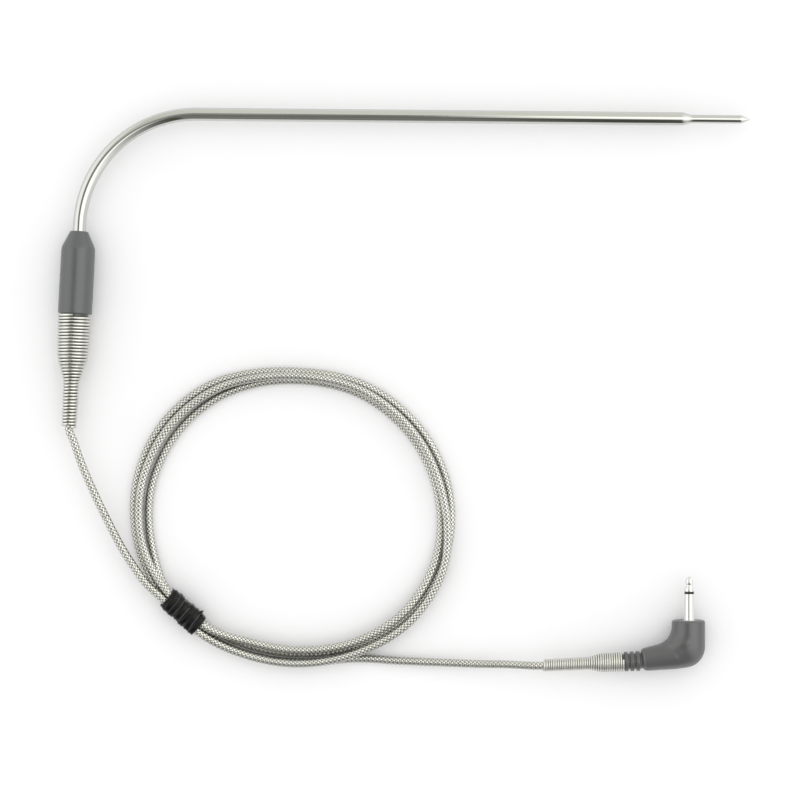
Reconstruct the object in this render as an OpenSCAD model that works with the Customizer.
// Plug-in food probe: a bent stainless probe on a braided steel lead.
// The lead is wound into a three-turn coil, held by a twisted tie, and ends
// in a right-angle jack plug.
// The whole object lies flat. +Z is up. The origin is on the axis of the jack
// pin, where the pin leaves the plug's shoulder, and +Y runs along the pin.

/* [Probe] */
// Outside diameter of the bent stainless tube
tube_d = 3.3; // [3.2:0.05:3.4]
// Wall thickness of the tube
tube_wall = 0.3; // [0.25:0.05:0.35]
// Centreline radius of the bend
bend_r = 29; // [27:0.5:31]
// Angle the tube is bent through
bend_angle = 87.5503; // [86:0.0001:89]
// Straight length between the bend and the swage
shaft_len = 121.3; // [110:0.1:125]
// Outside diameter of the reduced tip
tip_d = 2.1; // [2.05:0.05:2.2]
// Length of the swaged cone between the shaft and the tip
swage_len = 2.5; // [2:0.1:4]
// Straight length of the reduced tip
tip_len = 12; // [11.5:0.1:13]
// Length of the ground point
point_len = 2.5; // [2:0.1:3.5]
// Lean of the grip from the vertical in plan
grip_lean = 3; // [2:0.1:4]

/* [Grip] */
// Outside diameter of the rubber grip
grip_d = 8.5; // [8.2:0.1:8.8]
// Length of the rubber grip
grip_len = 20.6; // [20:0.1:21.5]
// Diameter of the flat at the tube end of the grip
grip_nose_d = 3.9; // [3.8:0.1:4.4]
// Length of the rounded shoulder of the grip
grip_shoulder = 4.4; // [3:0.1:5]

/* [Bend-relief springs] */
// Wire diameter of the spring at the grip
grip_spring_wire = 0.7; // [0.6:0.05:0.7]
// Pitch of the spring at the grip
grip_spring_pitch = 0.8; // [0.8:0.01:0.84]
// Wire diameter of the spring at the plug
plug_spring_wire = 0.46; // [0.4:0.02:0.46]
// Pitch of the spring at the plug
plug_spring_pitch = 0.56; // [0.56:0.01:0.6]

/* [Cable] */
// Outside diameter of the steel braid
cable_d = 2.1; // [2.0:0.02:2.1]
// Diameter of each insulated wire inside the braid
wire_d = 0.76; // [0.7:0.02:0.76]
// Target length of one straight facet along the coil
cable_step = 6.5; // [6:0.5:9]

/* [Tie] */
// Number of turns of the tie round the bundle
tie_turns = 5.5; // [5:0.5:5.5]
// Axial width of the tie's ribbon
tie_ribbon_w = 1.85; // [1.7:0.05:1.9]
// Thickness of the tie's ribbon
tie_ribbon_t = 0.45; // [0.4:0.05:0.5]

/* [Plug] */
// Diameter of the jack pin
jack_d = 2.5; // [2.5:0.1:2.5]
// Length of the jack pin beyond the shoulder
jack_len = 11; // [10.8:0.1:11.2]
// Diameter of the plug's upright column
plug_d = 8.2; // [8.2:0.1:8.4]
// Distance from the shoulder down to the elbow's centre
elbow_drop = 8.1; // [8:0.1:8.3]

/* [Hidden] */
// Clearance between close-fitting parts, and between the braid and its ferrules
fit = 0.02;
braid_fit = 0.06;

tube_r = tube_d / 2;
tube_ri = tube_r - tube_wall;
tip_r = tip_d / 2;
tip_ri = tip_r - 0.25;
cable_r = cable_d / 2;
cable_ri = cable_r - 0.15;
wire_r = wire_d / 2;
// Distance of each wire from the lead's axis
wire_offset = 0.41;
plug_r = plug_d / 2;

// Resting plane and height of the grip's axis
floor_z = -plug_r;
grip_z = floor_z + grip_d / 2;

// Grip frame: foot of the grip, its directions in plan, then the bend
grip_foot = [-153.55, 76.6, grip_z];
grip_dir = [sin(grip_lean), cos(grip_lean), 0];
grip_side = [cos(grip_lean), -sin(grip_lean), 0];
bend_start = grip_len + 1.8;
shaft_angle = 90 - bend_angle;
bend_end = [bend_r - bend_r * cos(bend_angle), bend_start + bend_r * sin(bend_angle), 0];

// Wide, tapered and narrow parts of the grip spring
grip_spring_wide = 10.9;
grip_spring_taper = 5.9;
grip_spring_narrow = 11.9;
grip_spring_len = grip_spring_wide + grip_spring_taper + grip_spring_narrow;

// Plug relief frame: foot of the ribs and direction towards the cable
relief_foot = [-11.8, -10.18, 0];
relief_tilt = 2.67;
relief_dir = [-cos(relief_tilt), -sin(relief_tilt), 0];

// Wide, tapered and narrow parts of the plug spring
plug_spring_start = 5;
plug_spring_wide_end = plug_spring_start + 5.2;
plug_spring_taper_end = plug_spring_wide_end + 3;
plug_spring_end = plug_spring_taper_end + 11.7;

// ---- Lead path ----
// Centre of the cable coil in plan
coil_centre = [-99.05, 26.05];
// Clearance left at each place where the lead flexes
flex_gap = 0.5;

// Each station is [angle round the coil, radius from the coil's centre,
// height above the resting plane]. The angle grows along the lead.

// From the grip spring to the tie
approach = [
    [158.38, 60.22, 4.25], [161.4, 57.75, 4.22], [165.4, 54.95, 4.12], [173.4, 50.10, 3.80],
    [182.8, 45.95, 3.55], [190.5, 43.65, 3.42], [198.7, 41.65, 3.48], [205, 40.42, 3.72]
];
// Angle, then the radius and the height of the first, second and third turn.
// The first rides on top, the second comes down to the inside after the
// right-hand crossing, and the third lies on the resting plane.
turns = [
    [211, [38.94, 36.76, 36.74], [3.85, 3.82, 1.66]],
    [221, [37.78, 35.67, 35.58], [3.85, 3.85, 1.68]],
    [231, [37.51, 35.41, 35.26], [3.75, 3.80, 1.62]],
    [251, [36.85, 33.45, 34.45], [3.25, 3.08, 1.10]],
    [272, [37.05, 33.70, 34.65], [3.20, 3.06, 1.06]],
    [295, [37.90, 35.10, 36.15], [3.20, 3.00, 1.06]],
    [319, [39.55, 36.80, 38.20], [3.20, 2.90, 1.06]],
    [343, [39.80, 37.40, 39.50], [3.20, 1.75, 1.06]],
    [355, [38.80, 37.15, 39.65], [3.20, 1.15, 1.06]],
    [367, [37.85, 36.70, 39.50], [3.14, 1.06, 1.06]],
    [390, [36.80, 35.80, 38.65], [3.04, 1.06, 1.06]],
    [420, [35.80, 34.70, 37.30], [3.00, 1.06, 1.06]],
    [450, [35.00, 33.90, 36.15], [2.95, 1.06, 1.06]],
    [465, [35.70, 34.30, 37.05], [2.97, 1.06, 1.06]],
    [480, [37.00, 35.00, 38.65], [2.70, 1.06, 1.06]],
    [505, [38.25, 35.85, 40.05], [2.84, 1.06, 1.06]],
    [530, [38.75, 36.40, 40.30], [2.92, 1.06, 1.06]],
    [553, [38.30, 36.35, 39.65], [3.02, 1.06, 1.06]]
];
// From the tie, under the outer turn, to the plug spring
run_out = [
    [211, 38.87, 1.66], [221, 37.85, 1.68], [231, 37.38, 1.62], [251, 36.80, 1.10],
    [262, 36.72, 1.06], [272, 36.95, 1.06], [282, 37.50, 1.06], [290, 38.40, 1.06],
    [295.5, 39.85, 1.08], [305.1, 44.55, 1.25], [311, 48.65, 1.50], [316.8, 54.00, 1.95],
    [321.4, 59.60, 2.55], [325, 64.85, 3.30], [329.1, 72.9, 4.1]
];
stations = concat(
    approach,
    [for (n = [0:2], s = turns) [s[0] + 360 * n, s[1][n], s[2][n]]],
    [for (s = run_out) [s[0] + 1080, s[1], s[2]]]
);
knots = [for (s = stations)
    [coil_centre.x + s[1] * cos(s[0]), coil_centre.y + s[1] * sin(s[0]), floor_z + s[2]]];
last_knot = len(knots) - 1;

// Knots at which the lead is allowed to flex
probe_knot = 2;
lift_knot = 6;
run_knot = last_knot - 5;
plug_knot = last_knot - 1;

function unit(v) = v / norm(v);
// Tangent at a knot, weighted by the two chord lengths
function knot_tangent(i) =
    i == 0 ? -grip_dir :
    i == last_knot ? -relief_dir :
    let (ahead = knots[i + 1] - knots[i], behind = knots[i] - knots[i - 1],
         ahead_len = norm(ahead), behind_len = norm(behind))
    (ahead / ahead_len * behind_len + behind / behind_len * ahead_len) / (ahead_len + behind_len);
// [point, direction] on the cubic curve from knot i to the next, at fraction u
function lead_at(i, u) =
    let (start = knots[i], end = knots[i + 1], chord = norm(end - start),
         leave = chord * knot_tangent(i), arrive = chord * knot_tangent(i + 1))
    [(2 * u * u * u - 3 * u * u + 1) * start + (u * u * u - 2 * u * u + u) * leave
        + (3 * u * u - 2 * u * u * u) * end + (u * u * u - u * u) * arrive,
     unit((6 * u * u - 6 * u) * start + (3 * u * u - 4 * u + 1) * leave
        + (6 * u - 6 * u * u) * end + (3 * u * u - 2 * u) * arrive)];
// [point, direction] rows between two knots, held back by a gap at each end
function lead_run(first, last, step, first_gap = flex_gap, last_gap = flex_gap) = [
    for (i = [first:last - 1])
        let (chord = norm(knots[i + 1] - knots[i]), count = max(1, ceil(chord / step)),
             is_last = i == last - 1,
             from = i == first ? first_gap / chord : 0,
             to = is_last ? 1 - last_gap / chord : 1)
        for (j = [0:count - (is_last ? 0 : 1)]) lead_at(i, from + (to - from) * j / count)
];

// Point and direction given in the grip's plan, where +Y runs up the grip
function grip_plan_pt(x, y) = grip_foot + x * grip_side + y * grip_dir;
function grip_plan_dir(angle) = [cos(angle - grip_lean), sin(angle - grip_lean), 0];
function shaft_pt(z) =
    grip_plan_pt(bend_end.x + z * cos(shaft_angle), bend_end.y + z * sin(shaft_angle));

// ---- Sweeps ----
// Horizontal and upright directions of a section at right angles to dir
function side_of(dir) = unit(cross([0, 0, 1], dir));
function up_of(dir) = cross(dir, side_of(dir));
function ngon(n, r, centre = [0, 0], start = 0) =
    [for (k = [0:n - 1]) centre + r * [cos(start + 360 * k / n), sin(start + 360 * k / n)]];
function ring(pt, dir, section) = [for (q = section) pt + q[0] * side_of(dir) + q[1] * up_of(dir)];

// Outward faces joining rings of n points, numbered from base
function wall_faces(ring_count, n, base = 0) = [
    for (i = [0:ring_count - 2], j = [0:n - 1])
        let (near = base + i * n + j, near_next = base + i * n + (j + 1) % n,
             far = near + n, far_next = near_next + n)
        each [[near, far, far_next], [near, far_next, near_next]]
];

// Closed solid through rings of n points each
module skin(rings) {
    n = len(rings[0]);
    ring_count = len(rings);
    polyhedron(
        points = [for (r = rings) each r],
        faces = concat(
            [[for (j = [0:n - 1]) j]],
            [[for (j = [n - 1:-1:0]) (ring_count - 1) * n + j]],
            wall_faces(ring_count, n)
        ), convexity = 8);
}

// Closed hollow solid: outer and inner rings of n points each
module hollow_skin(outer, inner) {
    n = len(outer[0]);
    ring_count = len(outer);
    hole = ring_count * n;
    end = hole - n;
    polyhedron(
        points = concat([for (r = outer) each r], [for (r = inner) each r]),
        faces = concat(
            [for (j = [0:n - 1]) let (k = (j + 1) % n)
                each [[j, k, hole + k], [j, hole + k, hole + j]]],
            [for (j = [0:n - 1]) let (k = (j + 1) % n)
                each [[end + j, hole + end + j, hole + end + k], [end + j, hole + end + k, end + k]]],
            wall_faces(ring_count, n),
            [for (f = wall_faces(ring_count, n, hole)) [f[2], f[1], f[0]]]
        ), convexity = 8);
}

// Braid along [point, direction] rows
module braid(path) {
    hollow_skin([for (q = path) ring(q[0], q[1], ngon(8, cable_r, start = 22.5))],
                [for (q = path) ring(q[0], q[1], ngon(8, cable_ri, start = 22.5))]);
}

// One wire along [point, direction, offset, radius] rows; side is 1 above, -1 below
module wire(path, side) {
    skin([for (q = path) ring(q[0], q[1], ngon(5, q[3], [0, side * q[2]], 90 * side))]);
}
// Wire rows at the usual offset and radius along [point, direction] rows
function plain_wire(path) = [for (q = path) [q[0], q[1], wire_offset, wire_r]];
module wire_pair(path) {
    for (side = [-1, 1]) wire(plain_wire(path), side);
}

// Helical spring whose outside radius follows a list of [z, radius] pairs
module helix(profile, wire, pitch, from, to, steps) {
    turn_count = (to - from - wire) / pitch;
    n = ceil(turn_count * steps);
    skin([for (k = [0:n])
        let (angle = 360 * turn_count * k / n,
             z = from + wire / 2 + pitch * angle / 360,
             r = lookup(z, profile) - wire / 2)
        [for (q = ngon(5, wire / 2)) [(r + q[1]) * cos(angle), (r + q[1]) * sin(angle), z + q[0]]]]);
}

module pipe(h, r, ri, z = 0) {
    translate([0, 0, z]) difference() {
        cylinder(h = h, r = r, $fn = 96);
        translate([0, 0, -1]) cylinder(h = h + 2, r = ri, $fn = 96);
    }
}

// ---- Frames ----
// Grip frame in plan: +Y up the grip's axis
module in_grip_plan() translate(grip_foot) rotate([0, 0, -grip_lean]) children();
// Along the grip's axis: +Z towards the tube
module on_grip() in_grip_plan() rotate([-90, 0, 0]) children();
// Along the shaft: +Z towards the tip, z = 0 where the bend ends, +X down
module on_shaft()
    in_grip_plan() translate(bend_end) rotate([0, 0, shaft_angle]) rotate([0, 90, 0]) children();
// Along the pin: +Z out of the plug, +Y down
module on_pin() rotate([-90, 0, 0]) children();
// Along the plug's cable relief: +Z towards the cable
module on_relief()
    translate(relief_foot) rotate([0, 0, relief_tilt]) rotate([0, -90, 0]) children();

// ---- Probe ----
// Foot of the tube above the foot of the grip
tube_foot = 6.1;
tip_start = shaft_len + swage_len;
tip_end = tip_start + tip_len;

module probe_tube() {
    color("silver") in_grip_plan()
        translate([bend_r, bend_start, 0]) rotate([0, 0, shaft_angle]) union() {
            rotate([0, 0, bend_angle]) translate([0, bend_r, 0])
                rotate([0, -90, 0]) rotate([0, 0, 90])
                    pipe(bend_start - tube_foot, tube_r, tube_ri);
            rotate_extrude(angle = bend_angle, start = 90, $fn = 144)
                translate([bend_r, 0]) difference() {
                    circle(r = tube_r, $fn = 96);
                    circle(r = tube_ri, $fn = 96);
                }
            translate([0, bend_r, 0]) rotate([0, 90, 0])
                rotate_extrude($fn = 96) polygon([
                    [tube_ri, 0], [tube_r, 0], [tube_r, shaft_len], [tip_r, tip_start],
                    [tip_r, tip_end], [tip_ri, tip_end], [tip_ri, tip_start + 0.3],
                    [tube_ri, shaft_len - 0.3]]);
        }
}

// Solid point with a spigot that plugs the end of the tube
spigot_len = 1.2;
module probe_point() {
    color("lightgray") on_shaft() rotate_extrude($fn = 96) polygon([
        [0, tip_end - spigot_len], [tip_ri - fit, tip_end - spigot_len],
        [tip_ri - fit, tip_end + 0.01], [tip_r, tip_end + 0.01],
        [tip_r * 0.86, tip_end + 0.5], [0.12, tip_end + point_len], [0, tip_end + point_len]]);
}

bead_z = tip_end - 2.4;
bead_r = 0.42;
module thermistor_bead() {
    color("darkslategray") on_shaft() translate([0, 0, bead_z]) sphere(r = bead_r, $fn = 48);
}
// Fill that carries heat from the point to the bead
module heat_filler() {
    color("white") on_shaft() difference() {
        translate([0, 0, bead_z - 0.1]) cylinder(h = 1.25, r = tip_ri - fit, $fn = 72);
        translate([0, 0, bead_z]) sphere(r = bead_r + fit, $fn = 48);
        translate([0, 0, bead_z - 1]) cylinder(h = 1, r = bead_r + fit, $fn = 48);
    }
}
// Thin insulating sleeve over the bead's two leads
module bead_sleeve() {
    color("peru") on_shaft() pipe(h = 8, r = 0.72, ri = 0.6, z = bead_z - 9);
}

// [side along the shaft frame's X, z of the crimp] of each splice
splices = [[-1, 94], [1, 100]];
// Distance of each splice from the shaft's axis
splice_offset = 0.6;
thermistor_lead_r = 0.1;
module thermistor_leads() {
    color("silver") on_shaft() for (s = splices) {
        // Columns: z, distance from the axis
        path = [[s[1] + 1.7, splice_offset], [tip_start - 8, splice_offset],
                [tip_start + 0.8, 0.26], [bead_z - bead_r, 0.2]];
        skin([for (q = path)
            [for (v = ngon(5, thermistor_lead_r, start = 90)) [s[0] * q[1] + v[0], v[1], q[0]]]]);
    }
}
// A pipe at each splice, starting at the given z from the crimp's foot
module splice_pipes(h, r, ri, z = 0) {
    for (s = splices) translate([s[0] * splice_offset, 0, 0]) pipe(h, r, ri, s[1] + z);
}
// Crimp barrels joining the bead's leads to the lead wires
module splice_crimps() {
    color("gold") on_shaft() splice_pipes(h = 3, r = 0.34, ri = 0.22);
}
// Sleeve over each crimp
module splice_sleeves() {
    color("ivory") on_shaft() splice_pipes(h = 6, r = 0.5, ri = 0.4, z = -2.5);
}

// ---- Grip ----
// Soft ring that seals the foot of the tube round the wires
module tube_seal() {
    color("firebrick") on_grip() pipe(h = 3, r = tube_ri - fit, ri = 0.85, z = tube_foot + 0.1);
}

// Stepped ferrule that joins the braid to the tube
joint_r = 2.2;
joint_foot = 2;
joint_top = 11;
module braid_ferrule() {
    color("silver") on_grip() rotate_extrude($fn = 96) polygon([
        [cable_r + braid_fit, joint_foot], [joint_r, joint_foot], [joint_r, joint_top],
        [tube_r + fit, joint_top], [tube_r + fit, tube_foot - fit],
        [cable_r + braid_fit, tube_foot - fit]]);
}

// Rubber grip: rounded nose, plain body, and a boss inside the spring
boss_r = 3.3;
boss_len = 3.4;
module grip() {
    nose_r = grip_nose_d / 2;
    bore_r = cable_r + 0.12;
    pocket_r = joint_r + 0.03;
    pocket_foot = joint_foot - 0.05;
    pocket_top = joint_top + 0.05;
    shoulder = [for (k = [0:10]) let (angle = 9 * k)
        [nose_r + (grip_d / 2 - nose_r) * cos(angle),
         grip_len - grip_shoulder + grip_shoulder * sin(angle)]];
    color("dimgray") on_grip() rotate_extrude($fn = 96) polygon(concat(
        [[bore_r, -boss_len], [boss_r, -boss_len], [boss_r, 0], [grip_d / 2, 0]],
        shoulder,
        [[tube_r + fit, grip_len], [tube_r + fit, pocket_top], [pocket_r, pocket_top],
         [pocket_r, pocket_foot], [bore_r, pocket_foot]]));
}

module grip_spring() {
    // z runs down from the foot of the grip
    color("silver") on_grip() mirror([0, 0, 1])
        helix(profile = [[0, 4.25], [grip_spring_wide, 3.85],
                         [grip_spring_wide + grip_spring_taper, 2.0], [grip_spring_len, 1.87]],
              wire = grip_spring_wire, pitch = grip_spring_pitch,
              from = 0.05, to = grip_spring_len, steps = 11);
}

// ---- Lead at the probe ----
// Inside the grip and the spring, then out to the first flexing place
probe_path = concat(
    [for (y = [5.9, -grip_spring_len + 3]) [grip_plan_pt(0, y), -grip_dir]],
    lead_run(0, probe_knot, step = 3, first_gap = 0));
module cable_braid_probe_end() {
    color("darkgray") braid(probe_path);
}

// The same two wires run on through the tube to the splices
bend_steps = 12;
bared_r = 0.2;
bared_len = 1.3;
module cable_wires_probe_end() {
    shaft_heading = grip_plan_dir(shaft_angle);
    from_lead = [for (i = [len(probe_path) - 1:-1:0]) [probe_path[i][0], -probe_path[i][1]]];
    bend = [for (k = [0:bend_steps]) let (angle = 180 - bend_angle * k / bend_steps)
        [grip_plan_pt(bend_r + bend_r * cos(angle), bend_start + bend_r * sin(angle)),
         grip_plan_dir(angle - 90), splice_offset, wire_r]];
    for (s = splices) {
        path = concat(
            plain_wire(from_lead),
            [[grip_plan_pt(0, 12), grip_dir, splice_offset, wire_r]],
            bend,
            [[shaft_pt(s[1]), shaft_heading, splice_offset, wire_r],
             [shaft_pt(s[1]), shaft_heading, splice_offset, bared_r],
             [shaft_pt(s[1] + bared_len), shaft_heading, splice_offset, bared_r]]);
        // The shaft frame's +X points down
        color("ivory") wire(path, -s[0]);
    }
}

// ---- Lead between the probe and the tie ----
probe_lead = lead_run(probe_knot, lift_knot, step = 6);
module cable_braid_probe_lead() {
    color("darkgray") braid(probe_lead);
}
module cable_wires_probe_lead() {
    color("ivory") wire_pair(probe_lead);
}

// ---- Coil ----
coil = lead_run(lift_knot, run_knot, step = cable_step);
module cable_braid_coil() {
    color("darkgray") braid(coil);
}
module cable_wires_coil() {
    color("ivory") wire_pair(coil);
}

// ---- Tie ----
tie_centre = [-126.54, 2, floor_z + 2.74];
tie_axis = -42.5;
// Half width and half height of the wrap, and how far its half width wavers
tie_half_w = 2.82;
tie_half_h = 2.27;
tie_waver = 0.03;
tie_travel = tie_turns * (tie_ribbon_w + 0.1);
tie_len = tie_travel + tie_ribbon_w;
tie_steps = 16;
tie_count = tie_turns * tie_steps;
// Rounded-box outline of the wrap
function wrap_pt(angle, half_w, half_h) =
    let (c = cos(angle), s = sin(angle), power = 0.5)
    [half_w * sign(c) * pow(abs(c), power), half_h * sign(s) * pow(abs(s), power)];
// Section of the tie between two distances out from the wrap
function tie_ring(k, inner, outer, half_ribbon) =
    let (angle = 360 * k / tie_steps,
         y = -tie_len / 2 + tie_ribbon_w / 2 + tie_travel * k / tie_count,
         half_w = tie_half_w + tie_waver * sin(angle * 0.37))
    [for (q = [[-1, inner], [1, inner], [1, outer], [-1, outer]])
        let (p = wrap_pt(angle, half_w + q[1], tie_half_h + q[1]))
        [p[0], y + q[0] * half_ribbon, p[1]]];
function tie_rings(inner, outer, half_ribbon) =
    [for (k = [tie_count:-1:0]) tie_ring(k, inner, outer, half_ribbon)];
// Rings centred in the ribbon's thickness
function tie_core(half_t, half_ribbon) =
    tie_rings(tie_ribbon_t / 2 - half_t, tie_ribbon_t / 2 + half_t, half_ribbon);
module in_tie() translate(tie_centre) rotate([0, 0, tie_axis - 90]) children();
module tie_ribbon() {
    color("black") in_tie()
        hollow_skin(tie_rings(0, tie_ribbon_t, tie_ribbon_w / 2), tie_core(0.13, 0.14));
}
module tie_wire() {
    color("silver") in_tie() skin(tie_core(0.11, 0.12));
}

// ---- Lead between the coil and the plug ----
plug_lead = lead_run(run_knot, plug_knot, step = 6);
module cable_braid_plug_lead() {
    color("darkgray") braid(plug_lead);
}
module cable_wires_plug_lead() {
    color("ivory") wire_pair(plug_lead);
}

// ---- Lead at the plug ----
// Ends of the plug's ferrule along the relief
crimp_start = -3.4;
crimp_len = 4.6;
plug_path = concat(
    lead_run(plug_knot, last_knot, step = 3, last_gap = 0),
    [for (z = [plug_spring_end - 3, crimp_start + 0.3]) [relief_foot + z * relief_dir, -relief_dir]]);
module cable_braid_plug_end() {
    color("darkgray") braid(plug_path);
}

solder_y = -elbow_drop;
// Heights of the upper faces of the centre contact's tag and the sleeve's tail
tag_top = 0.85;
tail_top = -1.55;
// Height of a soldered wire's axis above the contact it meets
solder_lift = 0.21;
module cable_wires_plug_end() {
    for (q = [[-1, tail_top], [1, tag_top]]) {
        side = q[0];
        offset_end = side * (q[1] + solder_lift);
        path = concat(
            plain_wire(plug_path),
            [[[-8.0, -9.75, 0], unit([5.4, 1.9, 0]), wire_offset, wire_r],
             [[-3.3, solder_y - 0.2, 0], unit([4, 0.7, 0]), 0.76, wire_r],
             [[-1.6, solder_y, 0], [1, 0, 0], offset_end, wire_r],
             [[-1.6, solder_y, 0], [1, 0, 0], offset_end, 0.18],
             [[0.4, solder_y, 0], [1, 0, 0], offset_end, 0.18]]);
        color("ivory") wire(path, side);
    }
}

// ---- Plug ----
module plug_spring() {
    color("silver") on_relief()
        helix(profile = [[plug_spring_start, 2.38], [plug_spring_wide_end, 2.32],
                         [plug_spring_taper_end, 1.6], [plug_spring_end, 1.56]],
              wire = plug_spring_wire, pitch = plug_spring_pitch,
              from = plug_spring_start, to = plug_spring_end, steps = 9);
}
// Crimp that holds the braid inside the plug
crimp_r = 1.4;
module plug_ferrule() {
    color("silver") on_relief() pipe(crimp_len, crimp_r, cable_r + braid_fit, crimp_start);
}

// Inner moulding
core_r = 3.1;
core_top = -0.8;
core_foot = -9.9;
cavity_r = 2.5;
// Flange and collar of the jack
flange_r = 2;
collar_r = 1.6;
// Arm from the elbow's centre out to the relief
arm_len = norm([relief_foot.x, relief_foot.y + elbow_drop]);
arm_tilt = atan2(-elbow_drop - relief_foot.y, -relief_foot.x);

module plug_column() {
    elbow = [for (k = [1:10]) let (angle = -9 * k)
        [plug_r * cos(angle), -elbow_drop + plug_r * sin(angle)]];
    on_pin() rotate_extrude($fn = 96) polygon(concat(
        [[0, 0], [plug_r - 0.5, 0], [plug_r - 0.15, -0.15], [plug_r, -0.5],
         [plug_r, -elbow_drop]],
        elbow));
}
// Stem with three ribs, and a thinner neck inside the spring
module plug_relief() {
    stem_r = 1.95;
    rib_r = 2.5;
    neck_r = 1.75;
    stem_end = 4.9;
    neck_end = stem_end + 2.6;
    ribs = [for (k = [0:2]) let (z = 0.6 + 1.45 * k)
        each [[stem_r, z], [rib_r, z + 0.12], [rib_r, z + 0.78], [stem_r, z + 0.9]]];
    on_relief() rotate_extrude($fn = 96) polygon(concat(
        [[0, -1.5], [stem_r, -1.5]],
        ribs,
        [[stem_r, stem_end], [neck_r, stem_end], [neck_r, neck_end], [0, neck_end]]));
}
// Web in the inner corner
module plug_web() {
    translate([0, 0, -2.2]) linear_extrude(4.4) difference() {
        polygon([[-3, -2.6], [-4.6, -3.6], [-7.4, -5.9], [-7.4, -7], [-3, -7]]);
        translate([-7.05, -3.1]) circle(r = 2.9, $fn = 72);
    }
}
// Rubber housing: upright column with a round elbow, a tapered arm and a relief
module plug_housing() {
    color("dimgray") difference() {
        union() {
            plug_column();
            translate(relief_foot) rotate([0, 0, arm_tilt]) rotate([0, 90, 0])
                cylinder(h = arm_len - 0.6, r1 = 2.8, r2 = 3.95, $fn = 96);
            plug_relief();
            plug_web();
        }
        // Seat for the inner moulding and the jack
        on_pin() {
            rotate_extrude($fn = 96) polygon([
                [0, core_foot - 0.05], [core_r - 0.87, core_foot - 0.05], [core_r + fit, -8.79],
                [core_r + fit, core_top + fit], [0, core_top + fit]]);
            translate([0, 0, -2]) cylinder(h = 3, r = collar_r + fit, $fn = 96);
        }
        // Seat for the crimp and bore for the braid
        on_relief() {
            translate([0, 0, crimp_start - 0.05])
                cylinder(h = crimp_len + 0.1, r = crimp_r + fit, $fn = 96);
            translate([0, 0, crimp_start]) cylinder(h = 13, r = cable_r + 0.1, $fn = 96);
        }
        // Way for the wires up to the contacts
        translate([-2.4, solder_y, 0]) rotate([0, 0, 16.5]) rotate([0, -90, 0])
            cylinder(h = 6.9, r = 1.25, $fn = 96);
    }
}
// Hard inner moulding: a cup round the contacts
module plug_core() {
    color("ivory") difference() {
        on_pin() rotate_extrude($fn = 96) polygon([
            [flange_r + fit, core_top], [core_r, core_top], [core_r, -8.8],
            [core_r - 0.9, core_foot], [0, core_foot], [0, -9.4], [cavity_r - 0.65, -9.4],
            [cavity_r, -8.6], [cavity_r, -3.05], [flange_r + fit, -3.05]]);
        translate([-1.2, solder_y, 0]) rotate([0, 0, 8]) rotate([0, -90, 0])
            cylinder(h = 4, r = 1.5, $fn = 96);
    }
}

// ---- Jack ----
sleeve_end = 6.55;
ring_end = 7.15;
sleeve_ri = 0.75;
rod_r = 0.45;
rod_hole_r = rod_r + fit;
flange_foot = -2.8;

// Flat strip inside the plug that a wire is soldered to
module solder_strip(top, strip_len) {
    translate([-0.5, -top, -8.7]) cube([1, 0.3, strip_len]);
}
// Outer contact: plain barrel, collar, flange and a solder tail
module jack_sleeve() {
    color("gainsboro") on_pin() union() {
        rotate_extrude($fn = 96) polygon([
            [sleeve_ri, flange_foot], [flange_r, flange_foot], [flange_r, -0.9],
            [collar_r, -0.9], [collar_r, 0], [jack_d / 2, 0], [jack_d / 2, sleeve_end],
            [sleeve_ri, sleeve_end]]);
        solder_strip(tail_top, 6);
    }
}
// Black ring between the two contacts
module jack_insulator_ring() {
    color("black") on_pin()
        pipe(ring_end - sleeve_end - 2 * fit, 1.08, rod_hole_r, sleeve_end + fit);
}
// Insulating tube round the centre rod
module jack_inner_insulator() {
    color("white") on_pin() pipe(sleeve_end + 2.75, sleeve_ri - fit, rod_hole_r, -2.75);
}
// Insulating washer behind the flange
module jack_washer() {
    color("peru") on_pin() pipe(h = 1.05, r = 1.5, ri = rod_hole_r, z = -3.9);
}
// Centre contact: rod with a waisted tip in front and a riveted head behind
module jack_tip() {
    // Columns: radius, z beyond the insulator ring
    tip_profile = [[1.15, 0.02], [1.17, 0.56], [0.8, 1.4], [0.78, 1.57],
                   [1.0, 2.13], [0.98, 2.58], [0.72, 3.25], [0.32, 3.7]];
    color("gainsboro") on_pin() rotate_extrude($fn = 96) polygon(concat(
        [[0, -4.75], [0.53, -4.75], [0.53, -4.28], [rod_r, -4.28], [rod_r, ring_end + fit]],
        [for (q = tip_profile) [q[0], ring_end + q[1]]],
        [[0, jack_len]]));
}
// Solder tag of the centre contact
module tip_tag() {
    color("gold") on_pin() union() {
        pipe(h = 0.3, r = 1, ri = rod_hole_r, z = -4.24);
        solder_strip(tag_top, 4.6);
    }
}
// Solder holding each wire to its contact
module solder_joints() {
    color("lightgray") for (top = [tag_top, tail_top]) let (wire_z = top + solder_lift) difference() {
        translate([0, solder_y, wire_z - 0.06]) sphere(r = 0.55, $fn = 48);
        translate([-1, solder_y - 1, top + fit - 2]) cube([2, 2, 2]);
        translate([-1, solder_y, wire_z]) rotate([0, 90, 0]) cylinder(h = 3, r = 0.2, $fn = 48);
    }
}

probe_tube();
probe_point();
thermistor_bead();
heat_filler();
bead_sleeve();
thermistor_leads();
splice_crimps();
splice_sleeves();
tube_seal();
braid_ferrule();
grip();
grip_spring();
cable_braid_probe_end();
cable_wires_probe_end();
cable_braid_probe_lead();
cable_wires_probe_lead();
cable_braid_coil();
cable_wires_coil();
tie_ribbon();
tie_wire();
cable_braid_plug_lead();
cable_wires_plug_lead();
cable_braid_plug_end();
cable_wires_plug_end();
plug_spring();
plug_ferrule();
plug_housing();
plug_core();
jack_sleeve();
jack_insulator_ring();
jack_inner_insulator();
jack_washer();
jack_tip();
tip_tag();
solder_joints();
